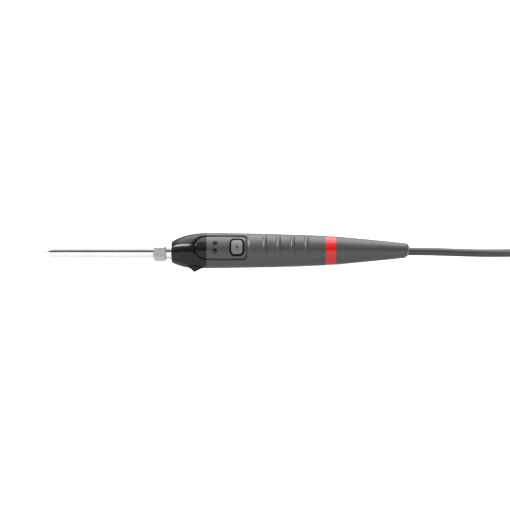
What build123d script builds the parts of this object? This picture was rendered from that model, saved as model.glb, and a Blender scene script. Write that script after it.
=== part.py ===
from build123d import *
import os
from math import asin, atan2, cos, degrees, hypot, pi, radians, sin, sqrt, tan

# Mains soldering iron lying on a bench, in millimetres.
# It is drawn along X: the nose cap's front face is at X = 0, the tip points to -X and the cord
# leaves towards +X. The control panel faces -Y, rolled up by PANEL_ROLL. At the end the iron is
# tipped by its rest angle, so that the foot and the rear edge of the grip stand on Z = 0.

# Handle
NOSE_LENGTH = 22.0
NOSE_FRONT_RADIUS = 6.66
NOSE_CURVE = 2.75           # how fast the nose swells: 1 is a cone, 2 is round
HANDLE_RADIUS = 11.14
GRIP_LENGTH = 73.9
GRIP_REAR_RADIUS = 9.29
GRIP_CROWN = 0.32           # the grip bulges this much over a straight taper
RING_WIDTH = 6.3
RING_TAPER = 0.44           # radius lost across the ring
RING_DEPTH = 1.0
TAIL_LENGTH = 42.2
TAIL_STEP = 0.9             # the tail's end is this much slimmer than its rear
TAIL_CROWN = 0.13
TAIL_END_LENGTH = 3.4
TAIL_END_WALL = 0.8         # outside the bush
TAIL_END_SLANT = 14.0       # degrees, the top of the end face reaches further back
NOSE_EDGE = 0.7             # rounding of the nose's front edge
WALL = 1.8
FIT_GAP = 0.05              # between plastic parts that fit into one another
RUN_GAP = 0.1               # between a part that slides and the hole it slides in
TONGUE_LENGTH = 4.9         # the shells' tongue inside the nose
COLLAR_LENGTH = 2.6

# Foot under the nose
FOOT_X = 14.4
FOOT_DROP = 13.1            # from the handle's axis to the foot's lowest line
FOOT_TIP_RADIUS = 0.9
FOOT_FRONT_RUN = 4.2
FOOT_REAR_RUN = 5.4
FOOT_WIDTH = 12.0

# Control panel
PANEL_ROLL = 14.5
PANEL_START = 13.9
PANEL_END = 47.6
PANEL_HALF_WIDTH = 7.9
PANEL_DEPTH = 0.6
PANEL_CORNER = 3.0
BUTTON_X = 40.8
BUTTON_LENGTH = 6.8
BUTTON_WIDTH = 8.7
BUTTON_CORNER = 1.9
BUTTON_TRAVEL = 0.5
BUTTON_PROUD = 0.45         # above the panel's floor
BUTTON_FLANGE = 0.6
FRAME_RIM = 1.25
FRAME_SUNK = 0.5            # the frame lies below the panel, so the button stands in a dark groove
FRAME_LIP = 0.8
FRAME_FLANGE = 0.7          # thickness of the flanges behind the wall
STOP_GAP = 0.3              # between the frame's flange and the button's
STEM_RADIUS = 1.4
LENS_FLANGE = 0.5
LENS_X = 27.3
LENS_RADIUS = 1.5
LENS_SPREAD = 2.6           # each lens centre from the panel's middle line
LENS_PROUD = 0.12
RIB_FIRST_X = 58.0
RIB_PITCH = 8.65
RIB_COUNT = 4
RIB_WIDTH = 3.4
RIB_HEIGHT = 0.65
RIB_HALF_LENGTH = 7.6

# Metal front end, on its own axis below the handle's
FRONT_DROP = 1.0
TIP_POINT_X = -93.1
TIP_POINT_RADIUS = 0.36
TIP_BASE_RADIUS = 2.3
TIP_CONE_BULGE = 0.28
TIP_SHANK_RADIUS = 3.1
HEATER_RADIUS = 2.0
HEATER_GAP = 0.06
BARREL_FRONT_X = -76.6
BARREL_RADIUS = 3.8
BARREL_WALL = 0.45
BARREL_LIP = 1.3            # how far the front face turns in
BARREL_LIP_LENGTH = 2.2
BARREL_FLANGE = 0.3         # the rear flange stands out this much
BARREL_FLANGE_LENGTH = 0.7
BARREL_BARE_GAP = 1.5       # the barrel's full size ends this far before the nut's boss
BARREL_SEAT_STEP = 0.2      # it is this much slimmer under the nut
NUT_LENGTH = 7.5
NUT_WALL = 0.84             # between the thread's running gap and a flat
NUT_GAP = 0.06
NUT_CHAMFER = 1.3
NUT_BOSS = 0.5
NECK_LENGTH = 3.4
NECK_RADIUS = 4.85
NECK_FLANGE_RADIUS = 5.05
NECK_GROOVE = 0.3
SOCKET_SPIGOT_RADIUS = 4.5
SOCKET_SPIGOT_LENGTH = 10.0
SOCKET_WALL = 0.6
LOCK_NUT_FLATS = 10.4
LOCK_NUT_LENGTH = 3.0
NOSE_FACE = 3.0             # thickness of the nose's front wall

# Circuit board and what it carries, X from the nose's front face
BOARD_START = 23.0
BOARD_LENGTH = 51.0
BOARD_HALF_WIDTH = 7.0
BOARD_THICKNESS = 1.2
BOARD_RIBS = (31.0, 68.0)
RIB_PLATE = 1.4
SWITCH_SIZE = 6.0
SWITCH_HEIGHT = 3.5
PLUNGER_RADIUS = 1.7
PLUNGER_PROUD = 0.8
LED_RADIUS = 1.4
LED_LENGTH = 4.6            # straight part, from the board to the dome
TERMINAL_LENGTH = 4.0
TERMINAL_INSET = 0.2        # before the board's rear end
TERMINAL_CORE_HEIGHT = 2.4  # of the cores over the board
TERMINAL_CORE_SPREAD = 2.2
WIRE_RADIUS = 0.4

# Screws: X and Z of each, in the panel's own frame
FRONT_SCREW = (48.5, -6.0)
REAR_SCREW_INSET = 9.9      # before the grip's end
SCREW_RADIUS = 1.1
SCREW_HEAD_RADIUS = 2.1
SCREW_HEAD_LENGTH = 1.5
BOSS_WALL = 1.1
SCREW_GAP = 0.2
PILOT_DEPTH = 5.0

# Cord, its bush and its clamp
CORD_RADIUS = 2.5
CORD_DROP = 0.6
CORE_RADIUS = 0.9
CORE_SPREAD_IN_CORD = 1.2   # of each core from the cord's middle
CORE_SPREAD_AT_SCREW = 5.0
BUSH_WALL = 0.65
BUSH_LENGTH = 10.0
BUSH_FLANGE = 0.65
BUSH_PROUD = 0.9
PASSAGE_LENGTH = 4.0        # narrow way for the cord between the cavity and the bush
PASSAGE_GAP = 0.2
CLAMP_INSET = 3.8           # the clamp's middle, past the ring
CLAMP_LENGTH = 5.0
CLAMP_HALF_WIDTH = 5.4
CLAMP_HEIGHT = 3.0
CLAMP_SCREW_RADIUS = 0.75
CLAMP_HEAD_RADIUS = 1.28
CLAMP_HEAD_LENGTH = 0.8
CORD_INNER_LEAD = 6.0       # the sheath reaches this far before the clamp's middle

# Route of the free cord after the bush: distance along X past the tail's end, Y, height over the
# place where the cord lies flat
CORD_ROUTE = ((35.0, -2.0, 1.15), (54.0, -6.0, 0.15), (72.0, -12.5, 0.0), (86.0, -16.5, 0.0))
CORD_FLOOR_GAP = 0.1
HANK_START = 72.0           # past the tail's end
HANK_LENGTH = 94.0
HANK_WIDTH = 43.6
HANK_LAYERS = 4
HANK_COLUMNS = 2            # of cord in each leg
HANK_BITE_RADIUS = 34.0     # how gently the legs come together
HANK_EDGE = 2.5
TIE_WIDTH = 12.0
TIE_THICKNESS = 1.2

# Stretch from the hank to the plug: distance along X past the hank's end, Y, height over the
# place where the cord lies flat
PLUG_LEAD = ((-14.0, -18.2, 0.0), (-1.0, -17.2, 0.2), (10.5, -13.6, 2.0), (21.0, -9.6, 4.0))
PLUG_START = 24.0           # where the plug's strain relief begins, past the hank's end
PLUG_Y = -9.0
RELIEF_LENGTH = 20.0
RELIEF_WALL = 0.8
RELIEF_TAPER = 1.7
RELIEF_RIB_PITCH = 3.2
RELIEF_SLOT = 1.1
PLUG_LENGTH = 25.0
PLUG_WIDTH = 26.0
PLUG_BACK_WIDTH = 14.0
PLUG_THICKNESS = 14.0
PLUG_AXIS_HEIGHT = 7.0
PIN_RADIUS = 2.0
PIN_LENGTH = 19.0
PIN_SPACING = 19.0

# Stations that follow from the sizes above
GRIP_END = NOSE_LENGTH + GRIP_LENGTH
RING_END = GRIP_END + RING_WIDTH
TAIL_REAR = RING_END + TAIL_LENGTH
TAIL_END = TAIL_REAR + TAIL_END_LENGTH
TAIL_FRONT_RADIUS = GRIP_REAR_RADIUS - RING_TAPER
NUT_REAR_X = -NECK_LENGTH
NUT_FRONT_X = NUT_REAR_X - NUT_LENGTH
BARREL_REAR_X = NUT_FRONT_X + 2.4
THREAD_RADIUS = BARREL_RADIUS + BARREL_FLANGE
NUT_ACROSS_FLATS = 2 * (THREAD_RADIUS + NUT_GAP + NUT_WALL)
THREAD_FRONT_X = BARREL_REAR_X + 0.15
BUSH_START = TAIL_END - BUSH_LENGTH
BUSH_RADIUS = CORD_RADIUS + BUSH_WALL
TAIL_END_RADIUS = BUSH_RADIUS + TAIL_END_WALL
TAIL_REAR_RADIUS = TAIL_END_RADIUS + TAIL_STEP
CORD_START = TAIL_END - 6.0
CORD_LYING = CORD_RADIUS + CORD_FLOOR_GAP
CLAMP_X = RING_END + CLAMP_INSET
CORD_INNER_START = CLAMP_X - CORD_INNER_LEAD
REAR_SCREW_X = GRIP_END - REAR_SCREW_INSET
SCREW_PLACES = (FRONT_SCREW, (REAR_SCREW_X, 0.0))
BOARD_END = BOARD_START + BOARD_LENGTH
HANK_HEIGHT = HANK_LAYERS * 2 * CORD_RADIUS + TIE_THICKNESS + 0.4
HANK_WAIST = HANK_COLUMNS * 4 * CORD_RADIUS + 1.0
RELIEF_THIN_RADIUS = CORD_RADIUS + RELIEF_WALL
RELIEF_THICK_RADIUS = RELIEF_THIN_RADIUS + RELIEF_TAPER
BOARD_TOP = BOARD_THICKNESS
FAR = 400.0

PANEL_TURN = Rot(X=-PANEL_ROLL)


def outlined(*edges):
    """Solid of revolution about X from edges that close an outline in the XY plane."""
    return revolve(make_face(Curve() + list(edges)), Axis.X)


def turned(*points):
    """Solid of revolution about X from a closed outline of (x, radius) points."""
    return revolve(make_face(Polyline(*points, close=True)), Axis.X)


def slab(start, end):
    """Block across everything between two stations along X."""
    return Pos((start + end) / 2, 0, 0) * Box(end - start, FAR, FAR)


def rod(start, end, radius, y=0.0, z=0.0):
    """Cylinder along X between two stations."""
    return Pos((start + end) / 2, y, z) * Rot(Y=90) * Cylinder(radius, end - start)


def cross_rod(x, z, radius, y_from, y_to):
    """Cylinder along Y."""
    return Pos(x, (y_from + y_to) / 2, z) * Rot(X=90) * Cylinder(radius, abs(y_to - y_from))


def block(x_from, x_to, y_from, y_to, z_from, z_to):
    """Box from its limits."""
    centre = ((x_from + x_to) / 2, (y_from + y_to) / 2, (z_from + z_to) / 2)
    return Pos(*centre) * Box(x_to - x_from, y_to - y_from, z_to - z_from)


def lowered(shape, drop):
    return Pos(0, 0, -drop) * shape


def panel_prism(sketch):
    """Prism from the axis out through the panel, of an outline drawn in the panel's plane."""
    return extrude(Plane.XZ * sketch, amount=HANDLE_RADIUS + 6)


# Outer form of the handle, and the same form drawn in by an inset

def nose_radius(x):
    swell = 1 - (1 - x / NOSE_LENGTH) ** NOSE_CURVE
    return NOSE_FRONT_RADIUS + (HANDLE_RADIUS - NOSE_FRONT_RADIUS) * swell


def nose_form(inset):
    """Nose that grows from the metal's axis back to the handle's axis."""
    stations = 7
    circles = []
    for step in range(stations + 1):
        x = NOSE_LENGTH * step / stations
        drop = FRONT_DROP * (1 - x / NOSE_LENGTH)
        plane = Plane(origin=(x, 0, -drop), x_dir=(0, 1, 0), z_dir=(1, 0, 0))
        circles.append(plane * Circle(nose_radius(x) - inset))
    return loft(circles)


def grip_mid_radius():
    return (HANDLE_RADIUS + GRIP_REAR_RADIUS) / 2 + GRIP_CROWN


def handle_form(inset):
    """Grip, ring and tail as one turned body."""
    front = (NOSE_LENGTH, HANDLE_RADIUS - inset)
    grip_mid = (NOSE_LENGTH + GRIP_LENGTH / 2, grip_mid_radius() - inset)
    grip_rear = (GRIP_END, GRIP_REAR_RADIUS - inset)
    tail_front = (RING_END, TAIL_FRONT_RADIUS - inset)
    tail_mid_radius = (TAIL_FRONT_RADIUS + TAIL_REAR_RADIUS) / 2 + TAIL_CROWN - inset
    tail_mid = (RING_END + TAIL_LENGTH / 2, tail_mid_radius)
    tail_rear = (TAIL_REAR, TAIL_REAR_RADIUS - inset)
    end_mid_radius = TAIL_END_RADIUS + (TAIL_REAR_RADIUS - TAIL_END_RADIUS) * 0.62 - inset
    end_mid = (TAIL_REAR + TAIL_END_LENGTH * 0.55, end_mid_radius)
    end = (TAIL_END, TAIL_END_RADIUS - inset)
    return outlined(
        ThreePointArc(front, grip_mid, grip_rear),
        Line(grip_rear, tail_front),
        ThreePointArc(tail_front, tail_mid, tail_rear),
        ThreePointArc(tail_rear, end_mid, end),
        Line(end, (TAIL_END, 0)),
        Line((TAIL_END, 0), (NOSE_LENGTH, 0)),
        Line((NOSE_LENGTH, 0), front),
    )


def shell_band(outer_inset, inner_inset):
    """What lies between two insets of the handle."""
    return handle_form(outer_inset) - handle_form(inner_inset)


def panel_outline():
    """Panel recess seen from the front: round at the nose end, small corners at the rear."""
    arc_start = NOSE_LENGTH
    half = PANEL_HALF_WIDTH
    left = make_face(
        Curve()
        + [
            ThreePointArc((arc_start, half), (PANEL_START, 0), (arc_start, -half)),
            Line((arc_start, -half), (arc_start, half)),
        ]
    )
    length = PANEL_END - arc_start + 2 * PANEL_CORNER
    right = Pos(PANEL_END - length / 2, 0) * RectangleRounded(length, 2 * half, PANEL_CORNER)
    keep = Pos(arc_start + length / 2, 0) * Rectangle(length, 2 * half)
    return left + (right & keep)


def panel_cut():
    """Tool that sinks the panel by an even depth below the handle's surface."""
    floor = nose_form(PANEL_DEPTH) + handle_form(PANEL_DEPTH)
    return PANEL_TURN * panel_prism(panel_outline()) - floor


def foot_block():
    """Wedge with a rounded lowest line, as wide as the bench foot."""
    top = -nose_radius(FOOT_X) * 0.72
    tip_z = -FOOT_DROP + FOOT_TIP_RADIUS
    front_z = -nose_radius(FOOT_X - FOOT_FRONT_RUN) * 0.96
    rear_z = -HANDLE_RADIUS * 0.96
    tip_circle = Pos(FOOT_X, tip_z) * Circle(FOOT_TIP_RADIUS)
    wedge = Polyline(
        (FOOT_X - FOOT_FRONT_RUN, front_z),
        (FOOT_X - FOOT_TIP_RADIUS * 0.55, tip_z - FOOT_TIP_RADIUS * 0.75),
        (FOOT_X + FOOT_TIP_RADIUS * 0.55, tip_z - FOOT_TIP_RADIUS * 0.75),
        (FOOT_X + FOOT_REAR_RUN, rear_z),
        (FOOT_X + FOOT_REAR_RUN, top),
        (FOOT_X - FOOT_FRONT_RUN, top),
        close=True,
    )
    outline = make_face(wedge) + tip_circle
    foot = extrude(Plane.XZ * outline, amount=FOOT_WIDTH / 2, both=True)
    return foot & slab(0, NOSE_LENGTH)


def make_nose_cap():
    """Hollow nose with its foot, the bore for the steel neck and the end of the panel recess."""
    outer = nose_form(0)
    front_edge = outer.edges().sort_by(Axis.X)[0]
    outer = fillet(front_edge, NOSE_EDGE)
    outer = outer + foot_block()
    cavity = nose_form(WALL) & slab(NOSE_FACE, NOSE_LENGTH)
    bore = lowered(rod(-1, NOSE_FACE + 1, SOCKET_SPIGOT_RADIUS), FRONT_DROP)
    cap = outer - cavity - bore
    cap = cap - PANEL_TURN * panel_prism(panel_outline()) + (cap & nose_form(PANEL_DEPTH))
    return cap


def front_boss(place):
    x, z = place
    return cross_rod(x, z, SCREW_RADIUS + BOSS_WALL, -HANDLE_RADIUS, 0)


def back_boss(place):
    x, z = place
    return cross_rod(x, z, SCREW_HEAD_RADIUS + SCREW_GAP + BOSS_WALL * 0.8, 0, HANDLE_RADIUS)


def rib_ring(x):
    """Low rounded ridge all round the grip at a station."""
    radius = handle_radius_at(x)
    half = RIB_WIDTH / 2
    low = radius - 0.4
    arc = ThreePointArc((x - half, low), (x, radius + RIB_HEIGHT), (x + half, low))
    return outlined(arc, Line((x + half, low), (x + half, low - 0.6)),
                    Line((x + half, low - 0.6), (x - half, low - 0.6)),
                    Line((x - half, low - 0.6), (x - half, low)))


def handle_radius_at(x):
    """Radius of the grip's arc at a station, from the circle through its three points."""
    x_1, r_1 = 0.0, HANDLE_RADIUS
    x_2, r_2 = GRIP_LENGTH / 2, grip_mid_radius()
    x_3, r_3 = GRIP_LENGTH, GRIP_REAR_RADIUS
    slope_12 = (r_2 - r_1) / (x_2 - x_1)
    slope_23 = (r_3 - r_2) / (x_3 - x_2)
    bend = (slope_23 - slope_12) / (x_3 - x_1)
    along = x - NOSE_LENGTH
    return r_1 + slope_12 * along + bend * along * (along - x_2)


def grip_ribs():
    """Raised ribs, each a stretch of ridge with rounded ends, centred on the panel's line."""
    ribs = []
    for number in range(RIB_COUNT):
        x = RIB_FIRST_X + RIB_PITCH * number
        plan = Pos(x, 0) * SlotOverall(2 * RIB_HALF_LENGTH, RIB_WIDTH, rotation=90)
        ribs.append(rib_ring(x) & panel_prism(plan))
    return ribs


def lens_plan(side, radius):
    return Pos(LENS_X, side * LENS_SPREAD) * Circle(radius)


def button_plan(grow):
    corner = BUTTON_CORNER + grow
    size = (BUTTON_LENGTH + 2 * grow, BUTTON_WIDTH + 2 * grow)
    return Pos(BUTTON_X, 0) * RectangleRounded(*size, corner)


def hollow_handle():
    """Whole handle tube, before it is split: cavity, ring seat, bush seat and panel recess."""
    body = handle_form(0)
    cavity = handle_form(WALL) & slab(NOSE_LENGTH, BUSH_START - PASSAGE_LENGTH)
    passage = rod(BUSH_START - PASSAGE_LENGTH - 1, BUSH_START + 1, CORD_RADIUS + PASSAGE_GAP)
    tongue_outer = nose_form(WALL + FIT_GAP) & slab(NOSE_LENGTH - TONGUE_LENGTH, NOSE_LENGTH)
    collar = handle_form(WALL / 2) & slab(NOSE_LENGTH, NOSE_LENGTH + COLLAR_LENGTH)
    inner_radius = HANDLE_RADIUS - 2 * WALL
    bore = rod(NOSE_LENGTH - TONGUE_LENGTH - 1, NOSE_LENGTH + COLLAR_LENGTH + 1, inner_radius)
    ring_seat = shell_band(-1, RING_DEPTH) & slab(GRIP_END, RING_END)
    bush_seat = lowered(bush_form(0), CORD_DROP)
    body = body - cavity
    body = body + tongue_outer + collar - bore
    body = body - ring_seat - bush_seat - lowered(passage, CORD_DROP)
    return body - slanted_end() - panel_cut()


def slanted_end():
    """Block behind the slanted end face of the tail."""
    turn = Rot(Y=TAIL_END_SLANT)
    return Pos(TAIL_END - 0.6, 0, 0) * turn * Pos(FAR / 2, 0, 0) * Box(FAR, FAR, FAR)


def bush_form(bore_radius):
    """Bush outline about the cord's own axis; a bore of zero gives the solid seat."""
    end = TAIL_END + BUSH_PROUD
    flange = turned(
        (BUSH_START + 2.0, 0),
        (BUSH_START + 2.0, BUSH_RADIUS + BUSH_FLANGE),
        (BUSH_START + 4.0, BUSH_RADIUS + BUSH_FLANGE),
        (BUSH_START + 4.0, 0),
    )
    form = rod(BUSH_START, end, BUSH_RADIUS) + flange
    if bore_radius > 0:
        form = form - rod(BUSH_START - 1, end + 1, bore_radius)
    return form


def make_cord_bush():
    bush = lowered(bush_form(CORD_RADIUS), CORD_DROP)
    cut = Pos(BUSH_PROUD, 0, 0) * slanted_end()
    return bush - cut


def make_front_shell(tube):
    """Half with the panel: window, lamp holes, ribs and two threaded bosses."""
    half = tube & Pos(0, -FAR / 2, 0) * Box(FAR * 2, FAR, FAR)
    inside = handle_form(WALL * 0.5)
    for place in SCREW_PLACES:
        half = half + (front_boss(place) & inside)
        half = half - cross_rod(place[0], place[1], SCREW_RADIUS, -PILOT_DEPTH, 1)
    half = half - panel_prism(button_plan(FRAME_RIM + FIT_GAP))
    hole_start = HANDLE_RADIUS / 2
    for side in (1, -1):
        hole_radius = LENS_RADIUS + FIT_GAP
        hole = cross_rod(LENS_X, side * LENS_SPREAD, hole_radius, -HANDLE_RADIUS - 1, -hole_start)
        half = half - hole
    pocket_depth = CLAMP_HEIGHT + CLAMP_HEAD_LENGTH + RUN_GAP
    for z in clamp_screw_places():
        half = half - cross_rod(CLAMP_X, z, CLAMP_HEAD_RADIUS + RUN_GAP, -pocket_depth, 0)
    for rib in grip_ribs():
        half = half + rib
    return half


def make_back_shell(tube):
    """Other half: screw seats, two plates under the board and the saddle for the cord clamp."""
    half = tube & Pos(0, FAR / 2, 0) * Box(FAR * 2, FAR, FAR)
    inside = handle_form(WALL * 0.5)
    for x in BOARD_RIBS:
        plate = block(x, x + RIB_PLATE, 0, HANDLE_RADIUS, -HANDLE_RADIUS, HANDLE_RADIUS)
        window = cross_rod(x + RIB_PLATE / 2, 0, 3.0, -1, 2.5)
        half = half + (plate & inside - window)
    half = half + (saddle_block() & inside) - cord_bore(CORD_RADIUS)
    for place in SCREW_PLACES:
        seat = screw_seat(place)
        half = half + (back_boss(place) & inside)
        half = half - cross_rod(place[0], place[1], SCREW_RADIUS + SCREW_GAP, -1, HANDLE_RADIUS + 1)
        head_hole = SCREW_HEAD_RADIUS + SCREW_GAP
        half = half - cross_rod(place[0], place[1], head_hole, seat, HANDLE_RADIUS + 1)
    for z in clamp_screw_places():
        half = half - cross_rod(CLAMP_X, z, CLAMP_SCREW_RADIUS, -1, 4.5)
    return half


def screw_seat(place):
    """Distance of a screw head's seat behind the joint of the two shells."""
    return sqrt(handle_radius_at(place[0]) ** 2 - place[1] ** 2) - SCREW_HEAD_LENGTH - 1.0


def cord_bore(radius):
    """Cord's path through the handle, in the panel's frame."""
    bore = lowered(rod(CORD_INNER_START - 2, TAIL_END, radius), CORD_DROP)
    return Rot(X=PANEL_ROLL) * bore


def saddle_block():
    x = CLAMP_X
    half = CLAMP_LENGTH / 2
    return block(x - half, x + half, 0.4, HANDLE_RADIUS, -HANDLE_RADIUS, HANDLE_RADIUS)


def clamp_screw_places():
    offset = CORD_RADIUS + CLAMP_SCREW_RADIUS + 0.55
    middle = -CORD_DROP * cos(radians(PANEL_ROLL))
    return (middle + offset, middle - offset)


def make_cord_clamp():
    """Bar over the cord, pulled against the saddle by two screws."""
    half = CLAMP_LENGTH / 2
    middle = -CORD_DROP
    bar = block(CLAMP_X - half, CLAMP_X + half, -CLAMP_HEIGHT, 0.4,
                middle - CLAMP_HALF_WIDTH + 0.3, middle + CLAMP_HALF_WIDTH - 0.3)
    bar = bar & handle_form(WALL + FIT_GAP)
    bar = bar - cord_bore(CORD_RADIUS)
    for z in clamp_screw_places():
        bar = bar - cross_rod(CLAMP_X, z, CLAMP_SCREW_RADIUS + 0.1, -FAR, FAR)
    return bar


def cross_screw(x, z, head_y, outward, radius, head_radius, head_length, length):
    """Pan-head screw along Y with a cross recess; outward is the side its head is on."""
    head = cross_rod(x, z, head_radius, head_y, head_y + outward * head_length)
    shank = cross_rod(x, z, radius, head_y, head_y - outward * length)
    recess_y = head_y + outward * head_length
    slot_width = head_radius * 0.28
    slot_depth = head_length * 0.5
    screw = head + shank
    for size in ((head_radius * 1.2, slot_width), (slot_width, head_radius * 1.2)):
        screw = screw - Pos(x, recess_y, z) * Box(size[0], 2 * slot_depth, size[1])
    return screw


def make_shell_screws():
    screws = []
    for x, z in SCREW_PLACES:
        seat = screw_seat((x, z))
        screws.append(cross_screw(x, z, seat, 1, SCREW_RADIUS, SCREW_HEAD_RADIUS,
                                  SCREW_HEAD_LENGTH, seat + PILOT_DEPTH - 0.5))
    return Compound(screws)


def make_clamp_screws():
    screws = []
    for z in clamp_screw_places():
        screws.append(cross_screw(CLAMP_X, z, -CLAMP_HEIGHT, -1, CLAMP_SCREW_RADIUS,
                                  CLAMP_HEAD_RADIUS, CLAMP_HEAD_LENGTH, CLAMP_HEIGHT + 4.0))
    return Compound(screws)


def make_marker_ring():
    return shell_band(0, RING_DEPTH) & slab(GRIP_END, RING_END)


def make_button_frame():
    """Frame in the window of the front shell, with a flange behind the wall."""
    opening = panel_prism(button_plan(RUN_GAP))
    rim = panel_prism(button_plan(FRAME_RIM)) & shell_band(PANEL_DEPTH + FRAME_SUNK, WALL)
    flange = panel_prism(button_plan(FRAME_RIM + FRAME_LIP)) & shell_band(WALL, WALL + FRAME_FLANGE)
    return rim + flange - opening


def switch_top():
    return BOARD_TOP + SWITCH_HEIGHT


def make_power_button():
    """Cap with a stem down to the switch and a flange that stops it from falling out."""
    flange_top = WALL + FRAME_FLANGE + STOP_GAP
    flange_bottom = flange_top + FRAME_FLANGE
    cap = panel_prism(button_plan(0)) & shell_band(PANEL_DEPTH - BUTTON_PROUD, flange_bottom)
    flange = panel_prism(button_plan(BUTTON_FLANGE)) & shell_band(flange_top, flange_bottom)
    stem_end = switch_top() + PLUNGER_PROUD
    stem_start = handle_radius_at(BUTTON_X) - flange_top - 0.2
    stem = cross_rod(BUTTON_X, 0, STEM_RADIUS, -stem_end, -stem_start)
    return cap + flange + stem


def make_lens(side):
    """Clear pip in its hole, with a small flange behind the wall."""
    pip = panel_prism(lens_plan(side, LENS_RADIUS)) & shell_band(PANEL_DEPTH - LENS_PROUD, WALL)
    wide = panel_prism(lens_plan(side, LENS_RADIUS + LENS_FLANGE))
    flange = wide & shell_band(WALL, WALL + LENS_FLANGE)
    return pip + flange


def make_circuit_board():
    """Board lying on the shells' joint plane, notched round the front screw boss."""
    board = block(BOARD_START, BOARD_START + BOARD_LENGTH, -BOARD_THICKNESS, 0,
                  -BOARD_HALF_WIDTH, BOARD_HALF_WIDTH)
    x, z = SCREW_PLACES[0]
    return board - cross_rod(x, z, SCREW_RADIUS + BOSS_WALL + 0.3, -5, 5)


def make_tact_switch():
    half = SWITCH_SIZE / 2
    body = block(BUTTON_X - half, BUTTON_X + half, -switch_top(), -BOARD_TOP, -half, half)
    well_depth = PLUNGER_PROUD + BUTTON_TRAVEL + STOP_GAP
    return body - cross_rod(BUTTON_X, 0, PLUNGER_RADIUS + FIT_GAP,
                            -switch_top() - 1, -switch_top() + well_depth)


def make_switch_plunger():
    return cross_rod(BUTTON_X, 0, PLUNGER_RADIUS, -switch_top() - PLUNGER_PROUD,
                     -switch_top() + PLUNGER_PROUD)


def make_indicator_leds():
    leds = []
    for side in (1, -1):
        z = side * LENS_SPREAD
        body = cross_rod(LENS_X, z, LED_RADIUS, -BOARD_TOP - LED_LENGTH, -BOARD_TOP)
        collar = cross_rod(LENS_X, z, LED_RADIUS + 0.3, -BOARD_TOP - 1.0, -BOARD_TOP)
        dome = Pos(LENS_X, -BOARD_TOP - LED_LENGTH, z) * Sphere(LED_RADIUS)
        leds.append(body + collar + dome)
    return Compound(leds)


def make_triac():
    """Power switch lying flat: body, metal tab and three legs."""
    body = block(58.0, 66.5, -BOARD_TOP - 4.4, -BOARD_TOP, -4.8, 4.8)
    tab = block(54.0, 58.0, -BOARD_TOP - 1.3, -BOARD_TOP, -4.8, 4.8)
    tab = tab - cross_rod(56.0, 0, 1.5, -10, 0)
    legs = [block(66.5, 68.0, -BOARD_TOP - 2.0, -BOARD_TOP, z - 0.4, z + 0.4)
            for z in (-2.5, 0.0, 2.5)]
    triac = body + tab
    for leg in legs:
        triac = triac + leg
    return triac


def make_line_capacitor():
    box = block(33.5, 44.5, 0, 5.6, -4.0, 4.0)
    return fillet(box.edges().filter_by(Axis.Y), 0.6)


def make_control_chip():
    """Small chip with eight legs beside the lamps."""
    chip = block(30.5, 35.5, -BOARD_TOP - 1.7, -BOARD_TOP - 0.2, -2.0, 2.0)
    for number in range(4):
        x = 31.1 + 1.27 * number
        leg = block(x - 0.2, x + 0.2, -BOARD_TOP - 0.9, -BOARD_TOP, -3.0, 3.0)
        chip = chip + leg
    return chip


def make_resistors():
    """Three axial resistors in a row, each with its two bent leads."""
    resistors = []
    for x in (54.0, 57.5, 61.0):
        body = Pos(x, 1.5, 0) * Cylinder(1.1, 6.0)
        wire = Pos(x, 1.5, 0) * Cylinder(0.3, 9.0)
        legs = [cross_rod(x, z, 0.3, 0, 1.5) for z in (-4.4, 4.4)]
        resistors.append(body + wire + legs[0] + legs[1])
    return Compound(resistors)


def terminal_core_z(side):
    return side * TERMINAL_CORE_SPREAD


def make_terminal_block():
    """Two-way terminal at the board's rear end, open towards the cord."""
    rear = BOARD_END - TERMINAL_INSET
    front = rear - TERMINAL_LENGTH
    body = block(front, rear, -BOARD_TOP - 5.6, -BOARD_TOP, -4.4, 4.4)
    for side in (1, -1):
        z = terminal_core_z(side)
        body = body - rod(front + 1.2, rear + 1, CORE_RADIUS, -BOARD_TOP - TERMINAL_CORE_HEIGHT, z)
        body = body - cross_rod(front + 2.2, z, 1.1, -BOARD_TOP - 7, -BOARD_TOP - 4.4)
    return body


def tube_along(points, radius):
    """Round wire along straight runs joined by tangent arcs, with the arcs' radii."""
    radii = [arc_radius(*points[i - 1:i + 2]) for i in range(1, len(points) - 1)]
    path = FilletPolyline(*points, radius=radii) if radii else Line(*points)
    direction = Vector(*points[1]) - Vector(*points[0])
    section = Plane(origin=points[0], z_dir=direction) * Circle(radius)
    return sweep(section, path=path), radii, path.length


def arc_radius(before, corner, after):
    """Largest sensible arc at a corner: 0.45 of the shorter run over the tangent of half the turn."""
    first = Vector(*corner) - Vector(*before)
    second = Vector(*after) - Vector(*corner)
    turn = radians(first.get_angle(second))
    return 0.45 * min(first.length, second.length) / tan(turn / 2)


def cord_axis_point(x, side_offset):
    """Point beside the cord's axis inside the handle, in the panel's frame."""
    roll = radians(PANEL_ROLL)
    return (x, CORD_DROP * sin(roll), -CORD_DROP * cos(roll) + side_offset)


def make_mains_cores():
    """Two insulated cores from the cord's cut end to the terminal, round the screw boss."""
    cores = []
    core_y = -BOARD_TOP - TERMINAL_CORE_HEIGHT
    for side in (1, -1):
        points = (
            (BOARD_END - TERMINAL_INSET - 2.4, core_y, terminal_core_z(side)),
            (BOARD_END + 4.0, core_y, terminal_core_z(side)),
            (REAR_SCREW_X + 0.5, -1.2, side * CORE_SPREAD_AT_SCREW),
            cord_axis_point(CORD_INNER_START - 4.5, side * CORE_SPREAD_IN_CORD),
            cord_axis_point(CORD_INNER_START, side * CORE_SPREAD_IN_CORD),
        )
        cores.append(tube_along(points, CORE_RADIUS)[0])
    return Compound(cores)


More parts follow.
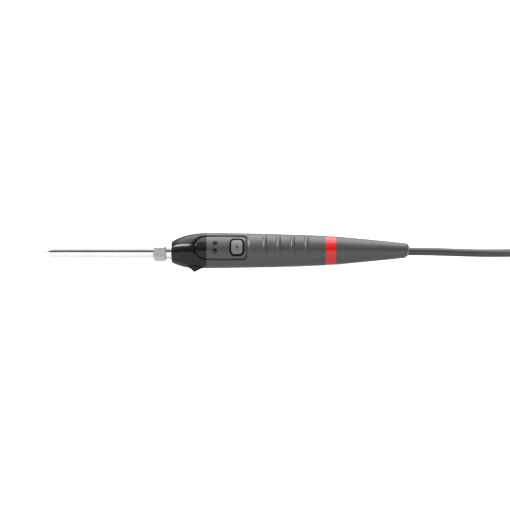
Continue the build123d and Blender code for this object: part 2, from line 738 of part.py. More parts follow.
def make_heater_leads():
    """Four thin wires from the heater's end to the front of the board."""
    leads = []
    drop = FRONT_DROP
    roll = radians(PANEL_ROLL)
    for number in range(4):
        z = 1.2 * (number - 1.5)
        start = (SOCKET_SPIGOT_LENGTH - 1.0, drop * sin(roll), -drop * cos(roll) + z * 0.8)
        points = (
            start,
            (start[0] + 5.0, start[1] + 0.1, start[2] * 1.05),
            (20.0, -2.4, z * 1.5),
            (BOARD_START + 0.9, -BOARD_TOP - WIRE_RADIUS, z * 1.7),
        )
        leads.append(tube_along(points, WIRE_RADIUS)[0])
    return Compound(leads)


def make_soldering_tip():
    """Needle with a slightly bulging cone, a shoulder and a hollow shank."""
    shoulder = BARREL_FRONT_X + BARREL_WALL + 0.25
    point = (TIP_POINT_X, 0)
    nose = (TIP_POINT_X + TIP_POINT_RADIUS, TIP_POINT_RADIUS)
    nose_mid = (TIP_POINT_X + TIP_POINT_RADIUS * 0.2, TIP_POINT_RADIUS * 0.6)
    base = (BARREL_FRONT_X - 1.2, TIP_BASE_RADIUS)
    middle = ((nose[0] + base[0]) / 2, (nose[1] + base[1]) / 2 + TIP_CONE_BULGE)
    neck = (shoulder, TIP_BASE_RADIUS)
    rear_x = BARREL_REAR_X - 1.5
    solid = outlined(
        ThreePointArc(point, nose_mid, nose),
        ThreePointArc(nose, middle, base),
        Line(base, neck),
        Line(neck, (shoulder, TIP_SHANK_RADIUS)),
        Line((shoulder, TIP_SHANK_RADIUS), (rear_x, TIP_SHANK_RADIUS)),
        Line((rear_x, TIP_SHANK_RADIUS), (rear_x, 0)),
        Line((rear_x, 0), point),
    )
    bore_end = shoulder + 3.0
    return solid - rod(bore_end, rear_x + 1, HEATER_RADIUS + HEATER_GAP)


def make_heater_rod():
    """Ceramic heater with the collar that seats in the neck."""
    front = BARREL_FRONT_X + BARREL_WALL + 0.25 + 3.0 + 1.0
    rod_end = SOCKET_SPIGOT_LENGTH - 3.0
    collar_radius = SOCKET_SPIGOT_RADIUS - SOCKET_WALL
    rod_part = rod(front, rod_end, HEATER_RADIUS)
    return rod_part + rod(2.0, 4.5, collar_radius)


def make_heater_plug():
    """Ceramic plug behind the collar, with a hole for the four leads."""
    radius = SOCKET_SPIGOT_RADIUS - SOCKET_WALL
    plug = rod(4.5, SOCKET_SPIGOT_LENGTH - 1.0, radius)
    return plug - rod(4.0, SOCKET_SPIGOT_LENGTH - 3.0, HEATER_RADIUS)


def make_tip_barrel():
    """Thin tube with a rounded, turned-in front lip and a rear flange under the nut."""
    front = BARREL_FRONT_X
    rear = BARREL_REAR_X
    face_radius = BARREL_RADIUS - BARREL_LIP * 0.7
    bore = BARREL_RADIUS - BARREL_WALL
    bare_end = NUT_FRONT_X - NUT_BOSS - BARREL_BARE_GAP
    seat_radius = BARREL_RADIUS - BARREL_SEAT_STEP
    bulge = (front + BARREL_LIP_LENGTH * 0.3, face_radius + (BARREL_RADIUS - face_radius) * 0.72)
    outer = outlined(
        Line((front, 0), (front, face_radius)),
        ThreePointArc((front, face_radius), bulge, (front + BARREL_LIP_LENGTH, BARREL_RADIUS)),
        Line((front + BARREL_LIP_LENGTH, BARREL_RADIUS), (bare_end, BARREL_RADIUS)),
        Line((bare_end, BARREL_RADIUS), (bare_end, seat_radius)),
        Line((bare_end, seat_radius), (rear, seat_radius)),
        Line((rear, seat_radius), (rear, 0)),
        Line((rear, 0), (front, 0)),
    )
    flange = rod(rear - BARREL_FLANGE_LENGTH, rear, BARREL_RADIUS + BARREL_FLANGE)
    inner = rod(front + BARREL_WALL + 0.1, rear + 1, TIP_SHANK_RADIUS + 0.08)
    relief = rod(front + BARREL_LIP_LENGTH + 1, rear + 1, bore)
    hole = rod(front - 1, front + 2, TIP_BASE_RADIUS + 0.15)
    return outer + flange - inner - relief - hole


def hexagon(across_flats, start, end):
    """Hexagonal bar along X with a corner straight up."""
    plane = Plane(origin=(start, 0, 0), x_dir=(0, 1, 0), z_dir=(1, 0, 0))
    section = RegularPolygon(across_flats / 2, 6, major_radius=False, rotation=30)
    return extrude(plane * section, amount=end - start)


def chamfer_envelope(across_flats, start, end, chamfer_length):
    """Turned envelope that bevels a hexagon's corners at both ends."""
    corner = across_flats / 2 / cos(radians(30))
    face = across_flats / 2 - 0.1
    return turned(
        (start, 0),
        (start, face),
        (start + chamfer_length * 0.6, corner + 0.01),
        (end - chamfer_length, corner + 0.01),
        (end, face),
        (end, 0),
    )


def make_barrel_nut():
    """Hex nut with bevelled corners, a small front boss and a stepped bore."""
    start = NUT_FRONT_X
    end = NUT_REAR_X
    hexed = hexagon(NUT_ACROSS_FLATS, start, end)
    hexed = hexed & chamfer_envelope(NUT_ACROSS_FLATS, start, end, NUT_CHAMFER)
    boss = rod(start - NUT_BOSS, start, NUT_ACROSS_FLATS / 2 - 0.55)
    narrow = rod(start - NUT_BOSS - 1, end, BARREL_RADIUS + NUT_GAP)
    shoulder = BARREL_REAR_X - BARREL_FLANGE_LENGTH - 0.1
    wide = rod(shoulder, end + 1, THREAD_RADIUS + NUT_GAP)
    return hexed + boss - narrow - wide


def make_heater_socket():
    """Steel neck: threaded end, grooved collar with a flange, spigot through the nose's face."""
    groove = NECK_RADIUS - NECK_GROOVE
    bore = HEATER_RADIUS + 0.5
    counterbore = SOCKET_SPIGOT_RADIUS - SOCKET_WALL
    return turned(
        (THREAD_FRONT_X, bore),
        (THREAD_FRONT_X, THREAD_RADIUS - 0.3),
        (THREAD_FRONT_X + 0.3, THREAD_RADIUS),
        (NUT_REAR_X + 0.1, THREAD_RADIUS),
        (NUT_REAR_X + 0.1, NECK_RADIUS - 0.2),
        (NUT_REAR_X + 0.3, NECK_RADIUS),
        (NUT_REAR_X + 0.75, NECK_RADIUS),
        (NUT_REAR_X + 0.75, groove),
        (NUT_REAR_X + 1.15, groove),
        (NUT_REAR_X + 1.15, NECK_RADIUS),
        (NUT_REAR_X + 1.5, NECK_RADIUS),
        (NUT_REAR_X + 1.5, NECK_FLANGE_RADIUS),
        (NUT_REAR_X + 2.2, NECK_FLANGE_RADIUS),
        (NUT_REAR_X + 2.2, NECK_RADIUS),
        (0, NECK_RADIUS),
        (0, SOCKET_SPIGOT_RADIUS),
        (SOCKET_SPIGOT_LENGTH, SOCKET_SPIGOT_RADIUS),
        (SOCKET_SPIGOT_LENGTH, counterbore),
        (2.0, counterbore),
        (2.0, bore),
    )


def make_socket_lock_nut():
    start = NOSE_FACE
    end = NOSE_FACE + LOCK_NUT_LENGTH
    nut = hexagon(LOCK_NUT_FLATS, start, end)
    return nut - rod(start - 1, end + 1, SOCKET_SPIGOT_RADIUS)


def make_cord_inner_end():
    return lowered(rod(CORD_INNER_START, CORD_START, CORD_RADIUS), CORD_DROP)


# Rest position on the bench

def rest_angle():
    """Tilt at which the foot's round and the grip's rear edge touch one plane, in degrees."""
    run = GRIP_END - FOOT_X
    rise = FOOT_DROP - FOOT_TIP_RADIUS - GRIP_REAR_RADIUS
    return degrees(atan2(rise, run) + asin(FOOT_TIP_RADIUS / hypot(run, rise)))


def rest_place(shapes):
    """Tilts the iron to its rest, with the origin at the middle of its box's bottom."""
    tilt = Rot(Y=rest_angle())
    box = Compound([tilt * shape for shape in shapes]).bounding_box()
    middle = box.center()
    return Pos(-middle.X, -middle.Y, -box.min.Z) * tilt


# Cord outside the handle, in the rest position's frame

def cord_exit(place):
    return (place * Pos(TAIL_END + BUSH_PROUD, 0, -CORD_DROP)).position


def make_mains_cord(place):
    """Free cord from inside the bush to the hank."""
    exit_point = cord_exit(place)
    start = (place * Pos(CORD_START, 0, -CORD_DROP)).position
    leave = (place * Pos(TAIL_END + BUSH_PROUD + 13.0, 0, -CORD_DROP)).position
    points = [tuple(start), tuple(leave)]
    for x, y, z in CORD_ROUTE:
        points.append((exit_point.X + x, y, CORD_LYING + z))
    return tube_along(points, CORD_RADIUS)


def hank_ends(place):
    start = cord_exit(place).X + HANK_START
    return start, start + HANK_LENGTH


def hank_middle(place):
    start, end = hank_ends(place)
    return (start + end) / 2


def make_cord_hank(place):
    """Closed solid of the hank's outer shape, drawn together where the tie holds it."""
    plan = SlotOverall(HANK_LENGTH, HANK_WIDTH)
    for side in (1, -1):
        plan = plan - Pos(0, side * (HANK_WAIST / 2 + HANK_BITE_RADIUS)) * Circle(HANK_BITE_RADIUS)
    body = extrude(plan, amount=HANK_HEIGHT)
    under_tie = tie_section(HANK_WAIST - 0.4, HANK_HEIGHT - TIE_THICKNESS, TIE_THICKNESS)
    body = body - slab(-TIE_WIDTH / 2, TIE_WIDTH / 2) + under_tie
    return Pos(hank_middle(place), 0, 0) * body


def tie_section(width, height, bottom):
    """Rounded block under or round the tie, as long as the tie is wide."""
    section = RectangleRounded(width, height, HANK_EDGE)
    origin = (-TIE_WIDTH / 2, 0, bottom + height / 2)
    return extrude(Plane(origin=origin, x_dir=(0, 1, 0), z_dir=(1, 0, 0)) * section, amount=TIE_WIDTH)


def make_cord_tie(place):
    """Band round the hank's waist."""
    width = HANK_WAIST - 0.4
    outer = tie_section(width + 2 * TIE_THICKNESS, HANK_HEIGHT + TIE_THICKNESS, 0)
    inner = tie_section(width, HANK_HEIGHT - TIE_THICKNESS, TIE_THICKNESS)
    return Pos(hank_middle(place), 0, 0) * (outer - inner)


def plug_start(place):
    return hank_ends(place)[1] + PLUG_START


def make_plug_lead(place):
    """Short stretch of cord from the top of the hank down into the plug's strain relief."""
    end = hank_ends(place)[1]
    points = [(end + x, y, CORD_LYING + z) for x, y, z in PLUG_LEAD]
    points.append((end + PLUG_START + 9.0, PLUG_Y, PLUG_AXIS_HEIGHT))
    return tube_along(points, CORD_RADIUS)


def make_plug_relief(place):
    """Tapered strain relief with grooves, wider towards the plug."""
    relief = turned(
        (0, 0),
        (0, RELIEF_THIN_RADIUS),
        (RELIEF_LENGTH, RELIEF_THICK_RADIUS),
        (RELIEF_LENGTH, 0),
    )
    count = int((RELIEF_LENGTH - RELIEF_RIB_PITCH) / RELIEF_RIB_PITCH)
    for number in range(count):
        x = RELIEF_RIB_PITCH * (number + 0.8)
        groove = rod(x, x + RELIEF_SLOT, RELIEF_THICK_RADIUS + 1)
        groove = groove - rod(x - 1, x + RELIEF_SLOT + 1, RELIEF_THIN_RADIUS - 0.1)
        relief = relief - groove
    relief = relief - rod(-1, RELIEF_LENGTH + 1, CORD_RADIUS)
    return Pos(plug_start(place), PLUG_Y, PLUG_AXIS_HEIGHT) * relief


def make_plug_body(place):
    """Flat two-pin plug: narrow back, sloping shoulders and a flat front face."""
    half = PLUG_WIDTH / 2
    back = PLUG_BACK_WIDTH / 2
    shoulder = (half - back) * 1.4
    outline = Polyline(
        (0, -back),
        (shoulder, -half),
        (PLUG_LENGTH, -half),
        (PLUG_LENGTH, half),
        (shoulder, half),
        (0, back),
        close=True,
    )
    body = extrude(make_face(outline), amount=PLUG_THICKNESS)
    body = fillet(body.edges().filter_by(Axis.Z), 2.2)
    body = fillet(body.edges().filter_by(Plane.XY), 2.0)
    base = PLUG_AXIS_HEIGHT - PLUG_THICKNESS / 2
    return Pos(plug_start(place) + RELIEF_LENGTH, PLUG_Y, base) * body


def make_plug_pins(place):
    """Two round pins that stand out of the plug's front face."""
    front = plug_start(place) + RELIEF_LENGTH + PLUG_LENGTH
    pins = []
    for side in (1, -1):
        y = PLUG_Y + side * PIN_SPACING / 2
        pin = rod(front, front + PIN_LENGTH, PIN_RADIUS, y, PLUG_AXIS_HEIGHT)
        pins.append(fillet(pin.edges().sort_by(Axis.X)[-1], 0.8))
    return Compound(pins)


def iron_parts():
    """Every piece of the iron itself, drawn along X."""
    tube = Rot(X=PANEL_ROLL) * hollow_handle()
    in_panel_frame = {
        "handle_front_shell": make_front_shell(tube),
        "handle_back_shell": make_back_shell(tube),
        "shell_screws": make_shell_screws(),
        "button_frame": make_button_frame(),
        "power_button": make_power_button(),
        "switch_plunger": make_switch_plunger(),
        "status_lens_upper": make_lens(1),
        "status_lens_lower": make_lens(-1),
        "circuit_board": make_circuit_board(),
        "tact_switch": make_tact_switch(),
        "indicator_leds": make_indicator_leds(),
        "triac": make_triac(),
        "line_capacitor": make_line_capacitor(),
        "control_chip": make_control_chip(),
        "resistors": make_resistors(),
        "terminal_block": make_terminal_block(),
        "mains_cores": make_mains_cores(),
        "heater_leads": make_heater_leads(),
        "cord_clamp": make_cord_clamp(),
        "clamp_screws": make_clamp_screws(),
    }
    on_front_axis = {
        "soldering_tip": make_soldering_tip(),
        "heater_rod": make_heater_rod(),
        "heater_plug": make_heater_plug(),
        "tip_barrel": make_tip_barrel(),
        "barrel_nut": make_barrel_nut(),
        "heater_socket": make_heater_socket(),
        "socket_lock_nut": make_socket_lock_nut(),
    }
    parts = {
        "nose_cap": make_nose_cap(),
        "marker_ring": make_marker_ring(),
        "cord_bush": make_cord_bush(),
        "cord_inner_end": make_cord_inner_end(),
    }
    for name, shape in in_panel_frame.items():
        parts[name] = PANEL_TURN * shape
    for name, shape in on_front_axis.items():
        parts[name] = lowered(shape, FRONT_DROP)
    return parts


def cord_parts(place):
    """Every piece of the free cord, already in its place."""
    cord, cord_radii, cord_length = make_mains_cord(place)
    lead, lead_radii, lead_length = make_plug_lead(place)
    section = pi * CORD_RADIUS ** 2
    print("cord radii", [round(value, 1) for value in cord_radii], "length", round(cord_length, 1),
          "volume over section x length", round(cord.volume / section / cord_length, 4))
    print("plug lead radii", [round(value, 1) for value in lead_radii],
          "length", round(lead_length, 1),
          "volume over section x length", round(lead.volume / section / lead_length, 4))
    return {
        "mains_cord": cord,
        "cord_hank": make_cord_hank(place),
        "cord_tie": make_cord_tie(place),
        "plug_lead": lead,
        "plug_relief": make_plug_relief(place),
        "plug_body": make_plug_body(place),
        "plug_pins": make_plug_pins(place),
    }


def main():
    os.makedirs("parts", exist_ok=True)
    iron = iron_parts()
    place = rest_place(iron.values())
    placed = {name: place * shape for name, shape in iron.items()}
    placed.update(cord_parts(place))
    print("rest angle", round(rest_angle(), 5), "cord exit", cord_exit(place))
    print("tip point", (place * Pos(TIP_POINT_X, 0, -FRONT_DROP)).position)
    print("handle axis start", place.position)
    print("plug pin root", plug_start(place) + RELIEF_LENGTH + PLUG_LENGTH)
    for name, shape in placed.items():
        export_step(shape, f"parts/{name}.step")


main()
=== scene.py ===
"""Soldering iron with a slim needle tip: finishes, cord, tie and small marks over the fixed frame."""

import math

import bmesh
import bpy
from bpy.props import FloatProperty, FloatVectorProperty, PointerProperty
from bpy.types import Operator, Panel, PropertyGroup
from mathutils import Matrix, Vector


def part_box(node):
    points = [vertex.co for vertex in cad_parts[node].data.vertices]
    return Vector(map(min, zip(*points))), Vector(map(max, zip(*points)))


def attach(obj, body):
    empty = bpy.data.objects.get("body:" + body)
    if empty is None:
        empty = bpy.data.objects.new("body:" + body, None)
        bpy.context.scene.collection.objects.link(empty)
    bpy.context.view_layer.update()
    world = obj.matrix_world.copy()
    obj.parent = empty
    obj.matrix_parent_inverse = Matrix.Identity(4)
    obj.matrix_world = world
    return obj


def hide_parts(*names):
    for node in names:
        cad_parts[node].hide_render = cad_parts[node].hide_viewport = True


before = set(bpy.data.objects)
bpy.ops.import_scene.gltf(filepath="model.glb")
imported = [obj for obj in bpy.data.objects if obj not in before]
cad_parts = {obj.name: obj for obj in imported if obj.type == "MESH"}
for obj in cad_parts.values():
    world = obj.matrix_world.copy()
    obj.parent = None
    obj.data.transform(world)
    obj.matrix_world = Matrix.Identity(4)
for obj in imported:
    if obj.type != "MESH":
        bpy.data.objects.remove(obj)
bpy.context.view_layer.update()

bl_info = {
    "name": "Soldering Iron",
    "version": (1, 0, 0),
    "blender": (4, 5, 0),
    "location": "3D View > Sidebar > Iron",
    "description": "Finishes, cord, tie and stage for a slim soldering iron",
    "category": "Object",
}

MM = 0.001

# Line of the handle in the row frame: the nose's front face and the direction to the cord
HANDLE_START = Vector((-0.0278057, 0.0000342, 0.0137593))
HANDLE_AXIS = Vector((0.99890852, 0.0, -0.04670948))
HANDLE_TILT = math.atan2(-HANDLE_AXIS.z, HANDLE_AXIS.x)
PANEL_ROLL = math.radians(14.5)
PANEL_FACE = Vector((0.01169512, -0.96814764, 0.25010672))
PANEL_UP = HANDLE_AXIS.cross(PANEL_FACE).normalized()

# Control panel, seen square on: distances along the handle and from the panel's middle line
PANEL_ROUND_X = 0.022
PANEL_ROUND = 0.0080
PANEL_END = 0.0474
PANEL_CORNER = 0.003
PANEL_MIDDLE = 0.0305
PANEL_HALF_WIDTH = 0.0079
GROOVE_HALF_WIDTH = 0.0014
GROOVE_DEPTH = 0.0005

# Cord: where it starts in the tail's bush, where it leaves, and the points it follows on the floor
CORD_START = (0.1138115, 0.0000342, 0.0065365)
CORD_ROUTE = (
    (0.1336898, 0.0000342, 0.005607),
    (0.155704, -0.002, 0.00375),
    (0.174704, -0.006, 0.00275),
    (0.192704, -0.0125, 0.0026),
    (0.206704, -0.0165, 0.0026),
)
# Past the far end of the hank: along X, then Y and height
PLUG_ROUTE = (
    (-0.014, -0.0182, 0.0026),
    (-0.001, -0.0172, 0.0028),
    (0.0105, -0.0136, 0.0046),
    (0.021, -0.0096, 0.0066),
    (0.033, -0.009, 0.007),
)
STATIONS = 16  # points in one turn of the hank
# Height of the cord in the hank, in layers, at points counted along its turns
HANK_LAYERS = (
    (0, 0), (13, 0), (16, 1), (29, 1), (32, 2), (45, 2), (48, 3), (65, 3), (67, 2),
    (70, 2), (73, 1), (77, 1), (80, 2), (81, 2), (83, 1), (86, 1), (89, 0), (93, 0),
    (96, 1), (97, 1), (99, 0), (101, 0),
)
# Column of the cord in the hank: 0 is the inner one and 1 the outer one
HANK_COLUMNS = ((0, 0), (61, 0), (64, 1), (101, 1))
HANK_FIRST = 2
HANK_LAST = 101
TIE_GRIP = 0.0065  # half the straight stretch under the tie
ROOM = 1.04  # a turn of the hank takes this many cord diameters across
LEG_ROOM = 1.02  # and this many where the tie draws the legs together
LEG_PULL = 0.95  # the legs leave the folds a little inside them
LEG_EASE = 0.001
SHOULDER_SHARE = 0.86  # how far out the legs begin to come together
LOOSENESS = 0.0012  # how much the turns differ in length
TIE_CORNER = 0.0028  # rounding of the tie's four corners
WARP_PITCH = 0.0009
WEFT_PITCH = 0.0011

# Where the camera looks: along the handle from its front face, and below its line
VIEW_ALONG = 0.0519
VIEW_BELOW = 0.0028
KEY_PLACE = (-0.62, -0.50, 0.85)
KEY_TARGET = (0.0, 0.0, 0.006)
KEY_SIZE = (0.70, 0.20)
OVERHEAD_LEAN = math.radians(-6)
FLOOR_HALF_WIDTH = 4.0
SEEN_BRIGHTNESS = 1.1  # of the room behind the iron


# --- Shader nodes -----------------------------------------------------------------------------


class Value:
    """A number in a node tree. Arithmetic on it adds Math nodes."""

    def __init__(self, finish, socket):
        self.finish = finish
        self.socket = socket

    def _maths(self, operation, *terms, clamp=False):
        settings = {"operation": operation, "use_clamp": clamp}
        return self.finish.add("ShaderNodeMath", settings, dict(enumerate(terms)))

    def __add__(self, other):
        return self._maths("ADD", self, other)

    __radd__ = __add__

    def __sub__(self, other):
        return self._maths("SUBTRACT", self, other)

    def __rsub__(self, other):
        return self._maths("SUBTRACT", other, self)

    def __mul__(self, other):
        return self._maths("MULTIPLY", self, other)

    __rmul__ = __mul__

    def __truediv__(self, other):
        return self._maths("DIVIDE", self, other)

    def __abs__(self):
        return self._maths("ABSOLUTE", self)

    def other(self, name):
        """Another output of the same node."""
        return Value(self.finish, self.socket.node.outputs[name])

    def sine(self):
        return self._maths("SINE", self)

    def reach(self, other):
        """Length of the diagonal of two sides."""
        return self._maths("SQRT", self * self + other * other)

    def bounded(self):
        return self._maths("ADD", self, 0.0, clamp=True)

    def lesser(self, other):
        return self._maths("MINIMUM", self, other)

    def greater(self, other):
        return self._maths("MAXIMUM", self, other)


class Finish:
    """One material: a Principled shader and the nodes that feed it."""

    def __init__(self, name):
        self.material = bpy.data.materials.new(name)
        self.material.use_nodes = True
        self.tree = self.material.node_tree
        self.shader = self.tree.nodes["Principled BSDF"]

    def add(self, kind, settings=None, sockets=None, output=0):
        """Adds a node: its settings first, then the values or links of its sockets."""
        node = self.tree.nodes.new(kind)
        for name, value in (settings or {}).items():
            setattr(node, name, value)
        for name, value in (sockets or {}).items():
            self.feed(node.inputs[name], value)
        return Value(self, node.outputs[output])

    def feed(self, socket, value):
        """Links a value to a socket, or sets a constant on it."""
        if isinstance(value, Value):
            self.tree.links.new(value.socket, socket)
        elif hasattr(value, "__len__") and len(value) == 3 and socket.type == "RGBA":
            socket.default_value = (*value, 1.0)
        else:
            socket.default_value = value

    def surface(self, **sockets):
        """Sets the shader's own sockets. Underscores in names stand for spaces."""
        for name, value in sockets.items():
            self.feed(self.shader.inputs[name.replace("_", " ")], value)

    def place(self):
        return self.add("ShaderNodeTexCoord", output="Object")

    def handle_place(self):
        """Coordinates whose X runs along the handle from the nose's front face, in metres."""
        return self.add(
            "ShaderNodeMapping",
            {"vector_type": "TEXTURE"},
            {
                "Vector": self.place(),
                "Location": HANDLE_START,
                "Rotation": (0, HANDLE_TILT, 0),
            },
        )

    def along_handle(self):
        """Distance along the handle from the nose's front face, in metres."""
        return self.add("ShaderNodeSeparateXYZ", sockets={"Vector": self.handle_place()})

    def noise(self, size, detail=2.0, roughness=0.5, vector=None):
        """Noise from 0 to 1 whose blotches are about size metres across."""
        return self.add(
            "ShaderNodeTexNoise",
            {"noise_dimensions": "3D"},
            {
                "Vector": vector or self.place(),
                "Scale": 1.0 / size,
                "Detail": detail,
                "Roughness": roughness,
            },
        )

    def stretched(self, scale):
        """Handle coordinates multiplied per axis, for marks that run along or round the handle."""
        return self.add(
            "ShaderNodeVectorMath",
            {"operation": "MULTIPLY"},
            {0: self.handle_place(), 1: scale},
        )

    def bump(self, height, depth, strength=1.0):
        """Surface relief of depth metres."""
        return self.add(
            "ShaderNodeBump",
            None,
            {"Height": height, "Distance": depth, "Strength": strength},
        )


class Room(Finish):
    """The world's node tree: a Background shader and the nodes that feed it."""

    def __init__(self, name):
        self.world = bpy.data.worlds.new(name)
        self.world.use_nodes = True
        self.tree = self.world.node_tree
        self.shader = self.tree.nodes["Background"]


def mixed(finish, factor, low, high):
    """Colour between two. The Mix node's colour sockets share names, so they go by their places."""
    node = finish.tree.nodes.new("ShaderNodeMix")
    node.data_type = "RGBA"
    finish.feed(node.inputs[0], factor)
    finish.feed(node.inputs[6], low)
    finish.feed(node.inputs[7], high)
    return Value(finish, node.outputs[2])


def shade(colour, amount):
    """The colour made lighter or darker by a factor."""
    return tuple(min(1.0, channel * amount) for channel in colour)


def panel_groove(finish):
    """Height in metres of a rounded groove that runs along the control panel's edge."""
    along = finish.along_handle()
    across, up = along.other("Y"), along.other("Z")
    side = abs(across * math.sin(PANEL_ROLL) + up * math.cos(PANEL_ROLL))
    front = ((up * math.sin(PANEL_ROLL) - across * math.cos(PANEL_ROLL)) / 0.002).bounded()
    nose_end = (PANEL_ROUND_X - along).greater(0.0).reach(side) - PANEL_ROUND
    corner_x = along - (PANEL_END - PANEL_CORNER)
    corner_up = side - (PANEL_HALF_WIDTH - PANEL_CORNER)
    inside = corner_x.greater(corner_up).lesser(0.0)
    rear_end = corner_x.greater(0.0).reach(corner_up.greater(0.0)) + inside - PANEL_CORNER
    edge = (abs(nose_end.greater(rear_end)) / GROOVE_HALF_WIDTH).lesser(1.0)
    valley = 1.0 - edge * edge
    ends = (abs(along - PANEL_MIDDLE) / (PANEL_END - PANEL_MIDDLE)).lesser(1.0)
    return valley * valley * front * (ends * ends * 0.85 + 0.15) * -GROOVE_DEPTH


def moulded(name, colour, roughness, grain=0.0004, depth=0.00002, mottle=0.12, coat=0.0, groove=False,
            specular=0.5):
    """Moulded plastic: fine eroded grain, soft mottling of colour and gloss."""
    finish = Finish(name)
    fine = finish.noise(grain, detail=3.0, roughness=0.6)
    broad = finish.noise(0.012, detail=4.0, roughness=0.55)
    if groove:
        relief = finish.bump(fine * depth + panel_groove(finish), 1.0)
    else:
        relief = finish.bump(fine, depth)
    finish.surface(
        Base_Color=mixed(finish, broad, shade(colour, 1 - mottle), shade(colour, 1 + mottle)),
        Roughness=roughness + (broad - 0.5) * 0.08 + (fine - 0.5) * 0.10,
        Normal=relief,
        Coat_Weight=coat,
        Specular_IOR_Level=specular,
    )
    return finish


def turned_metal(name, colour, roughness, pitch=0.00025, depth=0.000004, stain=0.15, tint=None):
    """Turned or ground metal: fine rings round the handle's line, faint stains and hairlines."""
    finish = Finish(name)
    rings = finish.noise(1.0, detail=3.0, vector=finish.stretched((1 / pitch, 2.0, 2.0)))
    hairs = finish.noise(1.0, detail=2.0, vector=finish.stretched((40, 2600, 2600)))
    broad = finish.noise(0.006, detail=4.0)
    finish.surface(
        Base_Color=mixed(finish, broad, shade(colour, 1 - stain), tint or colour),
        Metallic=1.0,
        Roughness=roughness + (rings - 0.5) * 0.12 + (broad - 0.5) * 0.10,
        Normal=finish.bump(rings + hairs * 0.25, depth),
    )
    return finish


def wear(node_names, finish):
    """Gives CAD nodes a finish in every material slot."""
    for name in node_names:
        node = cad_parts[name]
        if not node.material_slots:
            node.data.materials.append(finish.material)
        for slot in node.material_slots:
            slot.material = finish.material


# --- Settings ---------------------------------------------------------------------------------


class IronHandleSettings(PropertyGroup):
    """Colours and surface of the handle's plastic parts."""

    plastic_colour: FloatVectorProperty(
        name="Plastic", description="Colour of the shells", subtype="COLOR", default=(0.022, 0.023, 0.0245)
    )
    plastic_roughness: FloatProperty(
        name="Roughness", description="How matt the shells are", default=0.42, min=0.05, max=1
    )
    grain_size: FloatProperty(
        name="Grain", description="Size of the moulded grain", default=0.0004, unit="LENGTH"
    )
    grain_depth: FloatProperty(
        name="Grain depth", description="Height of the moulded grain", default=0.000025, unit="LENGTH"
    )
    nose_colour: FloatVectorProperty(
        name="Nose", description="Colour of the glossy nose", subtype="COLOR", default=(0.004, 0.004, 0.0045)
    )
    ring_colour: FloatVectorProperty(
        name="Ring", description="Colour of the marker ring", subtype="COLOR", default=(0.36, 0.002, 0.002)
    )
    button_colour: FloatVectorProperty(
        name="Button", description="Colour of the power button", subtype="COLOR",
        default=(0.085, 0.085, 0.087),
    )


class IronMetalSettings(PropertyGroup):
    """Colours and surface of the metal parts."""

    steel_colour: FloatVectorProperty(
        name="Steel", description="Colour of barrel and neck", subtype="COLOR", default=(0.52, 0.52, 0.53)
    )
    nut_colour: FloatVectorProperty(
        name="Nut", description="Colour of the satin nut", subtype="COLOR", default=(0.34, 0.34, 0.35)
    )
    steel_roughness: FloatProperty(
        name="Roughness", description="How satin the steel is", default=0.12, min=0.02, max=1
    )
    ring_pitch: FloatProperty(
        name="Tool marks", description="Distance between turning marks", default=0.00022, unit="LENGTH"
    )


class IronCordSettings(PropertyGroup):
    """Sizes and colours of the cord, its tie and the plug."""

    length: FloatProperty(
        name="Length", description="Whole length of the cord", default=1.5, unit="LENGTH"
    )
    diameter: FloatProperty(
        name="Diameter", description="Outside diameter of the sheath", default=0.005, unit="LENGTH"
    )
    layer_pitch: FloatProperty(
        name="Layers", description="Height from one layer of the hank to the next",
        default=0.00505, unit="LENGTH",
    )
    sheath_colour: FloatVectorProperty(
        name="Sheath", description="Colour of the cord", subtype="COLOR", default=(0.012, 0.012, 0.013)
    )
    tie_colour: FloatVectorProperty(
        name="Tie", description="Colour of the woven tie", subtype="COLOR", default=(0.035, 0.035, 0.040)
    )
    tie_thickness: FloatProperty(
        name="Tie thickness", description="Thickness of the woven tie", default=0.0011, unit="LENGTH"
    )
    plug_colour: FloatVectorProperty(
        name="Plug", description="Colour of the plug", subtype="COLOR", default=(0.020, 0.020, 0.021)
    )


class IronStageSettings(PropertyGroup):
    """Camera, surroundings and lights."""

    view_width: FloatProperty(
        name="View width", description="Width that the camera sees at the iron",
        default=0.31875, unit="LENGTH",
    )
    camera_distance: FloatProperty(
        name="Distance", description="From the camera to the iron", default=0.95, unit="LENGTH"
    )
    camera_height: FloatProperty(
        name="Height angle", description="Camera's angle above the iron",
        default=math.radians(1.5), subtype="ANGLE",
    )
    surroundings: FloatProperty(
        name="Surroundings", description="Brightness of the room", default=1.0, min=0
    )
    dark_band: FloatProperty(
        name="Dark band", description="Brightness of the room low down in front", default=0.06, min=0
    )
    dark_band_height: FloatProperty(
        name="Dark band height", description="Sine of the band's angle above the iron", default=0.10
    )
    dark_band_width: FloatProperty(
        name="Dark band width", description="Sine of the band's half angle", default=0.5, min=0.01
    )
    overhead_strength: FloatProperty(
        name="Overhead", description="Strength of the wide light above", default=4.2, min=0
    )
    overhead_spread: FloatProperty(
        name="Overhead spread", description="How wide the light above is",
        default=math.radians(65), subtype="ANGLE",
    )
    key_power: FloatProperty(
        name="Key", description="Power of the narrow front light", default=18.0, min=0, unit="POWER"
    )


# --- Shapes -----------------------------------------------------------------------------------


def stepped(table, point):
    """Value at a point of a table of (point, value), in straight steps."""
    for (start, low), (end, high) in zip(table, table[1:]):
        if point <= end:
            share = max(0.0, point - start) / (end - start)
            return low + share * (high - low)
    return table[-1][1]


